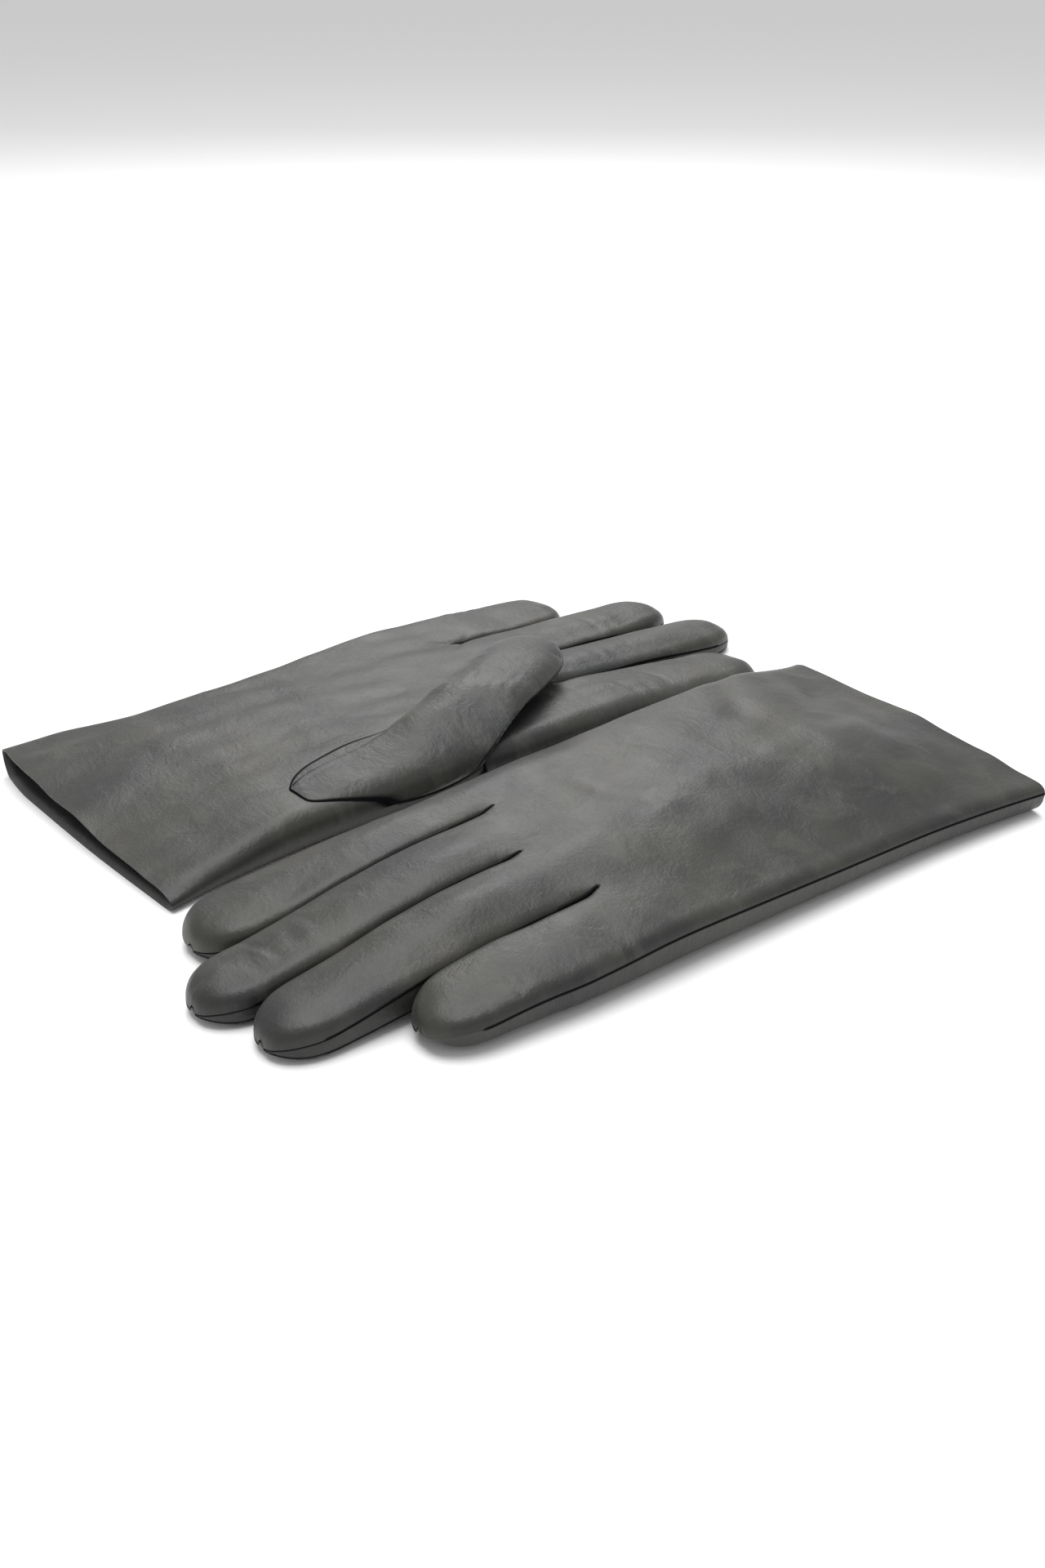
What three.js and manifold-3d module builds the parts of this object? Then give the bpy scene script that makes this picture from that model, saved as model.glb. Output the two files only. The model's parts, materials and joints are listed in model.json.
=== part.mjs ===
// A pair of lined leather dress gloves, laid flat side by side: the right glove palm up with its thumb over
// the palm, the left glove back up with its thumb folded under the palm.
// Each glove has its own frame: u runs from the cuff to the finger tips, v from the index side to the little
// side and z up from the surface that the pair lies on. Millimetres.
import * as THREE from "three";
import { mergeVertices } from "three/addons/utils/BufferGeometryUtils.js";
import Module from "manifold-3d";

const wasm = await Module();
wasm.setup();

// ---- Leather, lining and fits ----
const LEATHER = 1.0; // glove leather
const LINING = 0.5; // knitted lining
const CLEAR = 0.3; // between two pieces that are sewn edge to edge
const LINING_CLEAR = 0.8; // between the leather and the lining
const EDGE_HEIGHT = 2 * LEATHER + CLEAR; // where the upper and lower sheets meet

// ---- Hand: plan ----
const KNUCKLE_AT = 172; // cuff edge to the line on which the finger stalls fold
const CUFF_HALF_WIDTH = 54;
const WRIST_HALF_WIDTH = 48;
const WRIST_AT = 58;
const HEM_DEPTH = 12; // leather turned in at the cuff
const WEB_DEPTH = [10, 9, 14]; // how far each slit between two fingers runs back past the knuckle line
const FINGER_GAP = 1.2;

// ---- Hand: height ----
const CUFF_THICKNESS = 12;
const KNUCKLE_THICKNESS = 13.5;
const FLAT_SHARE = 0.75; // share of the half width that lies flat on the surface
const EDGE_RISE = 2; // how far the sheet turns up outside that share

// ---- Fingers: from the index to the little one ----
const TIP_ROUND = 17; // length over which a finger tip rounds off
const TIP_HALF_WIDTH = 3;
const TIP_THICKNESS = 9;
const TIP_TAPER = 0.88; // width at the tip against the width at the root
const FOURCHETTE_SHARE = 0.6; // height of the side wall against the finger's thickness
const WALL_END_SHARE = 0.86; // how far along the finger its side walls run
const FINGERS = [
  { name: "index", width: 28.2, length: 67, leanRight: -4, leanLeft: -1.5, walls: ["little"] },
  { name: "middle", width: 22.6, length: 82, leanRight: -1.2, leanLeft: 0.3, walls: ["index", "little"] },
  { name: "ring", width: 23.8, length: 76, leanRight: 1.2, leanLeft: 0.8, walls: ["index", "little"] },
  { name: "little", width: 23.8, length: 45, leanRight: 2.5, leanLeft: 1.2, walls: ["index"] },
];
const FINGER_WIDTHS = FINGERS.reduce((sum, finger) => sum + finger.width, 0);
const KNUCKLE_HALF_WIDTH = (FINGER_WIDTHS + (FINGERS.length - 1) * FINGER_GAP) / 2;
const NEIGHBOURS = {
  index: { little: "" },
  middle: { index: "_index_side", little: "_ring_side" },
  ring: { index: "_middle_side", little: "_little_side" },
  little: { index: "" },
};

// ---- Thumb ----
const THUMB_ROOT_AT = 72; // cuff edge to the rear end of the thumb stall
const THUMB_ROOT_INWARD = 11.5; // from the hand's index edge to the thumb's centre line
const THUMB_SHORT_OF_KNUCKLES = 3.6; // from the thumb's tip to the knuckle line
const THUMB_HALF_WIDTH = 15.2;
const THUMB_LEAN = 19; // degrees from the length of the glove towards the little side
const THUMB_THICKNESS = { right: 11.6, left: 8.2 }; // the left one is pressed flat under the hand
const THUMB_TIP_THICKNESS = 6;
const THUMB_TAPER_FROM = 0.55; // share of its length past which the thumb lies flatter
const THUMB_END_ROUND = 20;
const THUMB_HOLE_HALF_LENGTH = 15;
const THUMB_HOLE_HALF_WIDTH = 8;
const THUMB_HOLE_AT = 23; // from the rear end of the thumb to the middle of its mouth
const COLLAR_WALL = 1.2;
const THUMB_ROOT = new THREE.Vector2(THUMB_ROOT_AT, THUMB_ROOT_INWARD - KNUCKLE_HALF_WIDTH);
const THUMB_ALONG = KNUCKLE_AT - THUMB_ROOT_AT - THUMB_SHORT_OF_KNUCKLES;
const THUMB_LENGTH = THUMB_ALONG / Math.cos(THREE.MathUtils.degToRad(THUMB_LEAN));

// ---- How the pair lies ----
const CUFFS_APART_ALONG = 236.5; // from the middle of the right cuff to the middle of the left one
const BETWEEN_GLOVES = 8.7;
const CUFFS_APART_ACROSS = 2 * Math.max(CUFF_HALF_WIDTH, KNUCKLE_HALF_WIDTH) + BETWEEN_GLOVES;
const LEFT_TURN = 178.4; // degrees, from the right glove's direction to the left one's
const LIFT = THUMB_THICKNESS.left + 2.2; // how far the folded thumb raises the left hand
const LIFT_AT_CUFF = 0.45; // share of the lift at the cuff edge
const LIFT_AT_KNUCKLE = 0.62;
const LIFT_FULL_FROM = 48; // along the hand
const LIFT_FULL_TO = THUMB_ROOT_AT + 0.52 * THUMB_ALONG;
const LIFT_SIDE_FROM = 8; // across the hand, the lift fades out towards the little side
const LIFT_SIDE_TO = 38;

// ---- Grid of the sheets ----
const HAND_STEPS = 10;
const HAND_ACROSS = 8;
const FINGER_STEPS = 6;
const FINGER_ACROSS = 6;
const THUMB_STEPS = 8;
const CORE_SHARE = 0.92; // the outermost inner station of a core against the core's half width

const { clamp, degToRad, lerp, smoothstep } = THREE.MathUtils;

const leather = new THREE.MeshStandardMaterial({ color: 0x4c4e50, roughness: 0.48, metalness: 0 });
const sidewallLeather = new THREE.MeshStandardMaterial({ color: 0x3e4042, roughness: 0.5, metalness: 0 });
const hemLeather = new THREE.MeshStandardMaterial({ color: 0x353638, roughness: 0.55, metalness: 0 });
const knit = new THREE.MeshStandardMaterial({ color: 0x232427, roughness: 0.95, metalness: 0 });

// ---- Solids ----

function solidOf(geometry) {
  const bare = new THREE.BufferGeometry();
  bare.setAttribute("position", geometry.getAttribute("position"));
  if (geometry.index) bare.setIndex(geometry.index);
  const merged = mergeVertices(bare, 1e-4);
  return new wasm.Manifold(
    new wasm.Mesh({
      numProp: 3,
      vertProperties: merged.getAttribute("position").array,
      triVerts: new Uint32Array(merged.index.array),
    }),
  );
}

function geometryOf(solid) {
  const mesh = solid.getMesh();
  const geometry = new THREE.BufferGeometry();
  geometry.setAttribute("position", new THREE.BufferAttribute(mesh.vertProperties, 3));
  geometry.setIndex(new THREE.BufferAttribute(mesh.triVerts, 1));
  const faceted = geometry.toNonIndexed();
  faceted.computeVertexNormals();
  return faceted;
}

// A box with a grid on its faces, each corner moved to where place(s, t, level) puts it: s runs from 0 to 1
// along, t from -1 to 1 across and level from 0 to 1 upwards.
function bentBox(steps, across, place) {
  const box = new THREE.BoxGeometry(1, 2, 1, steps, across, 1);
  const corners = box.getAttribute("position");
  for (let i = 0; i < corners.count; i += 1) {
    const at = place(corners.getX(i) + 0.5, corners.getY(i), corners.getZ(i) + 0.5);
    corners.setXYZ(i, at.x, at.y, at.z);
  }
  return solidOf(box);
}

// The value at x of the line that joins f at count + 1 even stations, so that every sheet has the same facets.
function faceted(f, count, x) {
  const scaled = clamp(x, 0, 1) * count;
  const below = Math.min(Math.floor(scaled), count - 1);
  return lerp(f(below / count), f((below + 1) / count), scaled - below);
}

// ---- Pouches ----
// A pouch is a lower and an upper sheet that meet at the edges. plan(s, v) gives u and v on the surface,
// half(s) the half width, low(s, t) and high(s, t) the outer faces below and above.

function archAt(t, openEdge) {
  const round = Math.sqrt(1 - Math.min(Math.abs(t), 1) ** 2.6);
  return openEdge ? lerp(FOURCHETTE_SHARE, 1, round) : round;
}

function pouch({ steps, across, stationAt, plan, halfAt, thicknessAt, lowAt, walls = [] }) {
  const half = (s) => faceted((x) => halfAt(stationAt(x)), steps, s);
  const thickness = (s) => faceted((x) => thicknessAt(stationAt(x)), steps, s);
  const arch = (t) => {
    const wall = t < 0 ? walls.includes("index") : walls.includes("little");
    return faceted((x) => archAt(x, wall), across / 2, Math.abs(t));
  };
  const lowAtCorner = (x, t) => lowAt(plan(stationAt(x), t * halfAt(stationAt(x))), t);
  const lowAlong = (x, t) => faceted((y) => lowAtCorner(x, 2 * y - 1), across, (t + 1) / 2);
  const low = (s, t) => faceted((x) => lowAlong(x, t), steps, s);
  const high = (s, t) => low(s, t) + EDGE_HEIGHT + (thickness(s) - EDGE_HEIGHT) * arch(t);
  const spot = (s, v, z) => {
    const pastEnd = Math.min(s, 0) + Math.max(s - 1, 0);
    const at = plan(faceted(stationAt, steps, s) + pastEnd, v);
    return new THREE.Vector3(at.x, at.y, z);
  };
  return { steps, across, walls, half, low, high, spot };
}

function lowerSheet(p) {
  return bentBox(p.steps, p.across, (s, t, level) =>
    p.spot(s, t * p.half(s), p.low(s, t) + level * LEATHER),
  );
}

function upperSheet(p) {
  return bentBox(p.steps, p.across, (s, t, level) => {
    const inward = (1 - level) * LEATHER;
    return p.spot(s, t * (p.half(s) - inward), p.high(s, t) - inward);
  });
}

// The side wall of a finger: a strip that stands between the two sheets, on the side that faces a neighbour.
function sideWall(p, side) {
  const hand = side === "index" ? -1 : 1;
  return bentBox(p.steps, 1, (along, t, level) => {
    const s = Math.min(along, WALL_END_SHARE);
    const v = hand * (p.half(s) - LEATHER / 2) + (t * LEATHER) / 2;
    const foot = p.low(s, hand) + LEATHER + CLEAR;
    const head = p.high(s, hand) - LEATHER - CLEAR;
    return p.spot(s, v, lerp(foot, head, level));
  });
}

// The space inside a pouch, this far from its outer faces, from s = from to s = to. It keeps the pouch's own
// stations between its ends and edges where they fit, so that its facets lie along the pouch's.
function core(p, inset, sideInset, from, to) {
  const steps = to - from < 1 / p.steps ? 1 : p.steps;
  return bentBox(steps, p.across, (along, t, level) => {
    const inner = steps > 1 && along > 0 && along < 1;
    const s = inner ? along : lerp(from, to, along);
    const side = t < 0 ? "index" : "little";
    const narrow = p.walls.includes(side) ? inset : sideInset;
    const half = p.half(s);
    const reach = half - narrow;
    const nearEdge = (CORE_SHARE * reach) / (1 - 2 / p.across);
    const v = t * (Math.abs(t) < 1 ? Math.min(half, nearEdge) : reach);
    const z = level < 0.5 ? p.low(s, v / half) + inset : p.high(s, v / (half - LEATHER)) - inset;
    return p.spot(s, v, z);
  });
}

// A sleeve between two cores; openAt lists the ends that the inner core runs through.
function sleeve(p, inset, wall, sideInset, from, to, openAt) {
  const past = 0.02;
  const outer = core(p, inset, sideInset, from, to);
  const innerFrom = openAt.includes("root") ? from - past : from + past;
  const innerTo = openAt.includes("tip") ? to + past : to - past;
  const inner = core(p, inset + wall, sideInset + wall, innerFrom, innerTo);
  return outer.subtract(inner);
}

// ---- Hand ----

function handHalfWidth(s) {
  const outline = new THREE.SplineCurve([
    new THREE.Vector2(0, CUFF_HALF_WIDTH),
    new THREE.Vector2(WRIST_AT / KNUCKLE_AT, WRIST_HALF_WIDTH),
    new THREE.Vector2(1, KNUCKLE_HALF_WIDTH),
  ]);
  const samples = outline.getPoints(40);
  const next = samples.findIndex((p) => p.x >= s);
  if (next <= 0) return CUFF_HALF_WIDTH;
  const [a, b] = [samples[next - 1], samples[next]];
  return lerp(a.y, b.y, (s - a.x) / (b.x - a.x));
}

// The left hand lies over its own folded thumb, which raises its index side.
function liftAt(u, v) {
  const start = lerp(LIFT_AT_CUFF, 1, smoothstep(u, 0, LIFT_FULL_FROM));
  const end = lerp(1, LIFT_AT_KNUCKLE, smoothstep(u, LIFT_FULL_TO, KNUCKLE_AT));
  const side = 1 - smoothstep(v, LIFT_SIDE_FROM, LIFT_SIDE_TO);
  return LIFT * start * end * side;
}

function turnedUp(t) {
  return (EDGE_RISE * Math.max(0, Math.abs(t) - FLAT_SHARE)) / (1 - FLAT_SHARE);
}

function handPouch(lifted) {
  return pouch({
    steps: HAND_STEPS,
    across: HAND_ACROSS,
    stationAt: (x) => x,
    plan: (s, v) => new THREE.Vector2(s * KNUCKLE_AT, v),
    halfAt: handHalfWidth,
    thicknessAt: (s) => lerp(CUFF_THICKNESS, KNUCKLE_THICKNESS, s),
    lowAt: (at, t) => turnedUp(t) + (lifted ? liftAt(at.x, at.y) : 0),
  });
}

// ---- Fingers ----

// The fingers share the width at the knuckle line; each one's centre follows from the widths before it.
function fingerCentre(index) {
  let v = -KNUCKLE_HALF_WIDTH;
  for (let i = 0; i < index; i += 1) v += FINGERS[i].width + FINGER_GAP;
  return v + FINGERS[index].width / 2;
}

function roundedEnd(rest, length, sharpness) {
  const into = 1 - clamp(rest / length, 0, 1);
  return (1 - into ** sharpness) ** (1 / sharpness);
}

function fingerPouch(index, lifted) {
  const { width, length, leanRight, leanLeft, walls } = FINGERS[index];
  const lean = degToRad(lifted ? leanLeft : leanRight);
  const rootV = fingerCentre(index);
  const rootLift = lifted ? liftAt(KNUCKLE_AT, rootV) : 0;
  const tipHalf = (width / 2) * TIP_TAPER;
  return pouch({
    steps: FINGER_STEPS,
    across: FINGER_ACROSS,
    stationAt: (x) => Math.sin((x * Math.PI) / 2),
    plan: (s, v) => {
      const along = CLEAR + s * (length - CLEAR);
      const square = v * Math.cos(lean * Math.min(1, 6 * s));
      const slew = v * Math.sin(lean * Math.min(1, 6 * s));
      return new THREE.Vector2(
        KNUCKLE_AT + along * Math.cos(lean) - slew,
        rootV + along * Math.sin(lean) + square,
      );
    },
    halfAt: (s) => {
      const full = lerp(width / 2, tipHalf, s);
      return TIP_HALF_WIDTH + (full - TIP_HALF_WIDTH) * roundedEnd(length * (1 - s), TIP_ROUND, 2.2);
    },
    thicknessAt: (s) => {
      const full = lerp(KNUCKLE_THICKNESS, TIP_THICKNESS, s);
      return EDGE_HEIGHT + (full - EDGE_HEIGHT) * roundedEnd(length * (1 - s), TIP_ROUND / 2, 2);
    },
    lowAt: (at, t) =>
      rootLift * clamp(1 - (at.x - KNUCKLE_AT) / length, 0, 1) + 0.5 * turnedUp(t),
    walls,
  });
}

// ---- Thumb ----

function thumbAxis() {
  const lean = degToRad(THUMB_LEAN);
  return new THREE.Vector2(Math.cos(lean), Math.sin(lean));
}

function thumbPouch(base, thickness) {
  const along = thumbAxis();
  const rounded = (s) => {
    const tip = roundedEnd(THUMB_LENGTH * (1 - s), THUMB_END_ROUND, 2.1);
    const root = roundedEnd(THUMB_LENGTH * s, THUMB_END_ROUND, 2.1);
    return Math.min(tip, root);
  };
  return pouch({
    steps: THUMB_STEPS,
    across: FINGER_ACROSS,
    stationAt: (x) => (1 - Math.cos(x * Math.PI)) / 2,
    plan: (s, v) =>
      new THREE.Vector2(
        THUMB_ROOT.x + s * THUMB_LENGTH * along.x - v * along.y,
        THUMB_ROOT.y + s * THUMB_LENGTH * along.y + v * along.x,
      ),
    halfAt: (s) => TIP_HALF_WIDTH + (THUMB_HALF_WIDTH - TIP_HALF_WIDTH) * rounded(s),
    thicknessAt: (s) => {
      const full = lerp(thickness, THUMB_TIP_THICKNESS, smoothstep(s, THUMB_TAPER_FROM, 1));
      return EDGE_HEIGHT + (full - EDGE_HEIGHT) * Math.sqrt(rounded(s));
    },
    lowAt: () => base,
  });
}

// An upright oval post at the thumb's mouth, grown by this much all round.
function mouthPost(grown, bottom, top) {
  const oval = new THREE.Shape();
  const halfLength = THUMB_HOLE_HALF_LENGTH + grown;
  const halfWidth = THUMB_HOLE_HALF_WIDTH + grown;
  const centre = thumbAxis().multiplyScalar(THUMB_HOLE_AT).add(THUMB_ROOT);
  oval.absellipse(centre.x, centre.y, halfLength, halfWidth, 0, 2 * Math.PI, false, degToRad(THUMB_LEAN));
  const post = new THREE.ExtrudeGeometry(oval, {
    depth: top - bottom,
    bevelEnabled: false,
    curveSegments: 20,
  });
  post.translate(0, 0, bottom);
  return solidOf(post);
}

// ---- Slits between the fingers ----

function webSlit(index, top) {
  const v = fingerCentre(index) + FINGERS[index].width / 2 + FINGER_GAP / 2;
  const radius = FINGER_GAP / 2;
  const slit = new THREE.Shape();
  slit.moveTo(KNUCKLE_AT + radius, v + radius);
  slit.lineTo(KNUCKLE_AT - WEB_DEPTH[index], v + radius);
  slit.absarc(KNUCKLE_AT - WEB_DEPTH[index], v, radius, Math.PI / 2, (3 * Math.PI) / 2, false);
  slit.lineTo(KNUCKLE_AT + radius, v - radius);
  const cut = new THREE.ExtrudeGeometry(slit, { depth: top + 2, bevelEnabled: false, curveSegments: 4 });
  cut.translate(0, 0, -1);
  return solidOf(cut);
}

function cutWebs(solid) {
  const top = LIFT + KNUCKLE_THICKNESS;
  return WEB_DEPTH.reduce((rest, depth, index) => rest.subtract(webSlit(index, top)), solid);
}

// ---- One glove ----

function glove(side) {
  const palmUp = side === "right";
  const group = new THREE.Group();
  group.name = `${side}_glove`;
  const add = (name, solid, material) => {
    const mesh = new THREE.Mesh(geometryOf(solid), material);
    mesh.name = `${side}_${name}`;
    group.add(mesh);
  };

  // Hand: the trank's back and palm, the turned cuff and the lining, all open at both ends.
  const hand = handPouch(!palmUp);
  const lowest = -1;
  const highest = LIFT + KNUCKLE_THICKNESS + THUMB_THICKNESS[side];
  const mouthFrom = palmUp ? KNUCKLE_THICKNESS / 2 : lowest;
  const mouthTo = palmUp ? highest : LIFT + KNUCKLE_THICKNESS / 2;
  const mouth = mouthPost(0, mouthFrom, mouthTo);
  const upper = cutWebs(upperSheet(hand));
  const lower = cutWebs(lowerSheet(hand));
  add("palm_panel", (palmUp ? upper : lower).subtract(mouth), leather);
  add("back_panel", palmUp ? lower : upper, leather);
  const hemEnd = HEM_DEPTH / KNUCKLE_AT;
  const hemSide = 2 * LEATHER + 3;
  const hem = sleeve(hand, LEATHER + CLEAR, LEATHER, hemSide, 0, hemEnd, ["root", "tip"]);
  add("cuff_hem", hem, hemLeather);
  const liningFrom = (HEM_DEPTH + CLEAR) / KNUCKLE_AT;
  const liningInset = LEATHER + LINING_CLEAR;
  const handLining = sleeve(hand, liningInset, LINING, hemSide, liningFrom, 1, ["root", "tip"]);
  add("hand_lining", cutWebs(handLining).subtract(mouth), knit);

  // Fingers: back and palm leather, side walls towards the neighbours, and a closed lining.
  FINGERS.forEach(({ name, walls }, index) => {
    const finger = fingerPouch(index, !palmUp);
    add(`${name}_palm`, palmUp ? upperSheet(finger) : lowerSheet(finger), leather);
    add(`${name}_back`, palmUp ? lowerSheet(finger) : upperSheet(finger), leather);
    walls.forEach((wall) => {
      add(`${name}_fourchette${NEIGHBOURS[name][wall]}`, sideWall(finger, wall), sidewallLeather);
    });
    add(`${name}_lining`, sleeve(finger, liningInset, LINING, 3.4, 0, 0.93, ["root"]), knit);
  });

  // Thumb: set in over an oval mouth in the palm, with a collar where it is sewn to the hand.
  const palmFace = palmUp ? KNUCKLE_THICKNESS : LIFT;
  const base = palmUp ? palmFace + 2 * CLEAR : 0;
  const thumb = thumbPouch(base, THUMB_THICKNESS[side]);
  const thumbUpper = upperSheet(thumb);
  const thumbLower = lowerSheet(thumb);
  add("thumb_outer", palmUp ? thumbUpper : thumbLower, leather);
  add("thumb_inner", (palmUp ? thumbLower : thumbUpper).subtract(mouth), leather);
  const thumbLining = sleeve(thumb, liningInset, LINING, 3.4, 0.06, 0.94, []);
  const thumbMiddle = base + THUMB_THICKNESS[side] / 2;
  const throat = palmUp ? mouthPost(0, lowest, thumbMiddle) : mouthPost(0, thumbMiddle, highest);
  add("thumb_lining", thumbLining.subtract(throat), knit);

  // The collar stands between the palm's outer face and the thumb's inner sheet.
  const collarFrom = palmUp ? KNUCKLE_THICKNESS / 2 : THUMB_THICKNESS.left + CLEAR;
  const collarTo = palmUp ? base - CLEAR : LIFT + EDGE_RISE;
  const post = mouthPost(COLLAR_WALL, collarFrom, collarTo);
  const bore = mouthPost(0, collarFrom - 1, collarTo + 1);
  const handBody = bentBox(HAND_STEPS, HAND_ACROSS, (s, t, level) => {
    const z = level < 0.5 ? hand.low(s, t) - CLEAR : hand.high(s, t) + CLEAR;
    return hand.spot(s, t * hand.half(s), z);
  });
  add("thumb_collar", post.subtract(bore).subtract(handBody), leather);
  return group;
}

const gloves = new THREE.Group();
gloves.name = "leather_gloves";
const right = glove("right");
const left = glove("left");
left.position.set(CUFFS_APART_ALONG, -CUFFS_APART_ACROSS, 0);
left.rotation.z = degToRad(LEFT_TURN);
gloves.add(right, left);

// The origin is on the surface, under the middle of the pair.
const middle = new THREE.Box3().setFromObject(gloves, true).getCenter(new THREE.Vector3());
right.position.sub(new THREE.Vector3(middle.x, middle.y, 0));
left.position.sub(new THREE.Vector3(middle.x, middle.y, 0));

export default gloves;
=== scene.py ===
import json
import math
import random

import bpy
import numpy as np
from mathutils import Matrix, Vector


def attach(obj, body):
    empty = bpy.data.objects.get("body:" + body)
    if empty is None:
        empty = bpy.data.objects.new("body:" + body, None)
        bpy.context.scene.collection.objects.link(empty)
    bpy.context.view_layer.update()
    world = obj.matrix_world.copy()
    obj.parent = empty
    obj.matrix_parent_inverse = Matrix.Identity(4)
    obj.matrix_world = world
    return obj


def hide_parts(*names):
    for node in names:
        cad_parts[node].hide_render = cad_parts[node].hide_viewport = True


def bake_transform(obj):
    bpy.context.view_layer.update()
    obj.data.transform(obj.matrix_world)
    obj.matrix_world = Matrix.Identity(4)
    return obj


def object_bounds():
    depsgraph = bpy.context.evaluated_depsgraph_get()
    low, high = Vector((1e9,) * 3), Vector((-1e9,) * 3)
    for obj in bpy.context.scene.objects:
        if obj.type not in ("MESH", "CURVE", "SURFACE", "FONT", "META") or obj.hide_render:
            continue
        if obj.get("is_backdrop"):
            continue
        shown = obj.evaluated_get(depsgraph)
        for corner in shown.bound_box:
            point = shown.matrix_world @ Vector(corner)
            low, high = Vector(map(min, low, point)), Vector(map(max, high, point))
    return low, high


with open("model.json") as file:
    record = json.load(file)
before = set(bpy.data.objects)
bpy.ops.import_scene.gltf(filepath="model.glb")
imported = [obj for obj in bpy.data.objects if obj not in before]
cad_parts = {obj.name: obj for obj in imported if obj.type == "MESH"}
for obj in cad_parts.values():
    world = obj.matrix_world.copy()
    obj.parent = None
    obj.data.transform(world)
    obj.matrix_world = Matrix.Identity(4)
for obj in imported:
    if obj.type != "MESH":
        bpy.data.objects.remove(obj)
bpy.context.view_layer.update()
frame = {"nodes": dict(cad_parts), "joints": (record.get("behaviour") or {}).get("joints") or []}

# ---- Hands and fingers ----
# The hand, palm and back, and the outer faces of the fingers are cut from one piece of leather, folded at the
# index side and seamed at the little side. The cuff's edge is turned in, and a knitted lining hangs inside.

MM = 0.001
SIDES = ("right", "left")
FINGERS = ("index", "middle", "ring", "little")


# Each glove has its own plan: u from the cuff to the finger tips, v from the index side to the little side,
# both in millimetres, and z up from the surface that it lies on.
def glove_frame(side, joint):
    """Where a glove's cuff middle is, and the directions of its u and v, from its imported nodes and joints."""
    axis = next(Vector(j["axis"]) for j in frame["joints"] if j["name"] == joint)
    along = Vector((-axis.y, axis.x, 0))
    across = Vector((-axis.x, -axis.y, 0))
    hem = np.array([v.co for v in frame["nodes"][side + "_cuff_hem"].data.vertices])
    low, high = (hem @ np.array(along)).min(), (hem @ np.array(along)).max()
    side_low, side_high = (hem @ np.array(across)).min(), (hem @ np.array(across)).max()
    origin = along * low + across * (side_low + side_high) / 2
    return {"origin": origin, "along": along, "across": across, "hem": (high - low) / MM}


GLOVES = {
    "right": glove_frame("right", "right_index_curl"),
    "left": glove_frame("left", "left_index_lift"),
}


def to_row(side, u, v, z):
    """Plan millimetres of one glove to metres in the row frame, as an array of points."""
    g = GLOVES[side]
    flat = np.multiply.outer(u, np.array(g["along"])) + np.multiply.outer(v, np.array(g["across"]))
    flat = flat * MM + np.array(g["origin"])
    flat[..., 2] = z * MM
    return flat


def curve(*points):
    """A smooth curve through (x, y) points, without overshoot."""
    xs, ys = (np.array(c, float) for c in zip(*points))
    slope = np.diff(ys) / np.diff(xs)
    inner = np.where(slope[1:] * slope[:-1] > 0, 2 * slope[1:] * slope[:-1] / (slope[1:] + slope[:-1] + 1e-12), 0)
    m = np.concatenate([[slope[0]], inner, [slope[-1]]])

    def at(x):
        x = np.clip(x, xs[0], xs[-1])
        k = np.clip(np.searchsorted(xs, x) - 1, 0, len(xs) - 2)
        h = xs[k + 1] - xs[k]
        t = (x - xs[k]) / h
        a = (1 + 2 * t) * (1 - t) ** 2 * ys[k] + t * (1 - t) ** 2 * h * m[k]
        return a + t * t * (3 - 2 * t) * ys[k + 1] + t * t * (t - 1) * h * m[k + 1]

    return at


def step(x, low, high):
    t = np.clip((x - low) / (high - low), 0, 1)
    return t * t * (3 - 2 * t)


def rounded(distance, radius):
    """0 at an edge and 1 past radius from it, as a quarter circle."""
    rest = 1 - np.clip(distance / radius, 0, 1)
    return np.sqrt(np.clip(1 - rest ** 2.2, 0, 1))


def waves(u, v, seed, length, stretch=1.0, count=7):
    """Soft irregular swells of about this length; stretch lengthens them along u."""
    chance = random.Random(seed)
    total = 0
    for _ in range(count):
        turn = chance.uniform(0, math.pi)
        k = 2 * math.pi / (length * chance.uniform(0.7, 1.5))
        phase = chance.uniform(0, 2 * math.pi)
        total = total + np.sin(k * (u * math.cos(turn) / stretch + v * math.sin(turn)) + phase)
    return total / math.sqrt(count)


def crease(u, v, start, end, width, depth):
    """A fold line pressed into leather from start to end, deepest halfway."""
    (u0, v0), (u1, v1) = start, end
    du, dv = u1 - u0, v1 - v0
    size = math.hypot(du, dv)
    t = ((u - u0) * du + (v - v0) * dv) / size ** 2
    off = ((u - u0) * dv - (v - v0) * du) / size
    share = np.clip(t, 0, 1) * np.clip(1 - t, 0, 1) * 4
    inside = np.sqrt(np.clip(share, 0, 1)) * (t > 0) * (t < 1)
    return -depth * inside * np.exp(-(off / width) ** 2)


# Sizes of the hand and fingers in plan millimetres. LENGTH runs from the knuckle line to each finger's tip, LEAN
# is each finger's turn in degrees towards the little side, and BORDERS are the lines between the fingers.
WEB = {"right": (161.5, 162.5, 157.5), "left": (153.0, 161.5, 154.5)}  # where each slit between two fingers ends
SPLIT = 150.0  # the hand's leather is one piece up to here
KNUCKLE = 172.0  # the line that the fingers bend at
GAP = 0.5  # between two fingers that lie side by side
LENGTH = {"right": (63.5, 80, 73.5, 44.5), "left": (70, 83, 77, 45.5)}
LEAN = {"right": (-4.5, -1.6, 0.8, 2.4), "left": (1.6, 0.9, 0.2, -3.6)}
BORDERS = {
    "right": np.array([-51.0, -22.2, 1.6, 26.6, 51.0]),
    "left": np.array([-50.8, -23.0, 0.8, 24.4, 47.8]),
}
TIP_ROUND = 15.5  # how far from its tip a finger starts to narrow

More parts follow.
